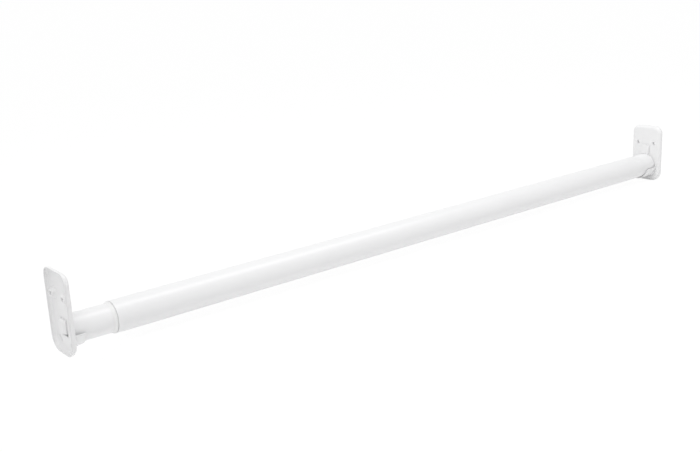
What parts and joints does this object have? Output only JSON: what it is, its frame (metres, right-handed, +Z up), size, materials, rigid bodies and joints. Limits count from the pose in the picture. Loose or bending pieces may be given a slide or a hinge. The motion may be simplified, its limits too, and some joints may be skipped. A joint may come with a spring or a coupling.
{
  "type": "telescopic closet rod",
  "caption": "Adjustable closet rod: a slim white steel tube slides in a wider one, and a dished plate with a cradle on each end screws to a wardrobe's side walls.",
  "frame": {"origin": "on the rod's axis, in the plane of the right-hand wall", "axes": "+X along the rod into the right-hand wall, +Z up, +Y to the back of the wardrobe"},
  "size_m": [0.775, 0.0394, 0.0696],
  "materials": {
    "white_enamel": "semi-gloss white enamel on steel",
    "white_polythene": "satin moulded polythene",
    "natural_nylon": "moulded, undyed",
    "zinc_plate": "zinc plated"
  },
  "bodies": {
    "outer_rod": {"outer_tube": "white_enamel", "mouth_collar": "white_polythene", "right_wall_plate": "white_enamel", "right_cradle": "white_enamel", "right_tube_clip": "white_enamel", "right_rivet": "zinc_plate"},
    "plug": {"guide_plug": "natural_nylon"},
    "inner_rod": {"inner_tube": "white_enamel", "left_wall_plate": "white_enamel", "left_cradle": "white_enamel", "left_tube_clip": "white_enamel", "left_rivet": "zinc_plate"}
  },
  "joints": [
    {"name": "rod_slide", "type": "slide", "parent": "outer_rod", "child": "plug", "axis": [-1, 0, 0], "range_m": [-0.013, 0.444]},
    {"name": "rod_twist", "type": "hinge", "parent": "plug", "child": "inner_rod", "pos_m": [-0.041, 0, 0], "axis": [1, 0, 0], "continuous": true}
  ]
}
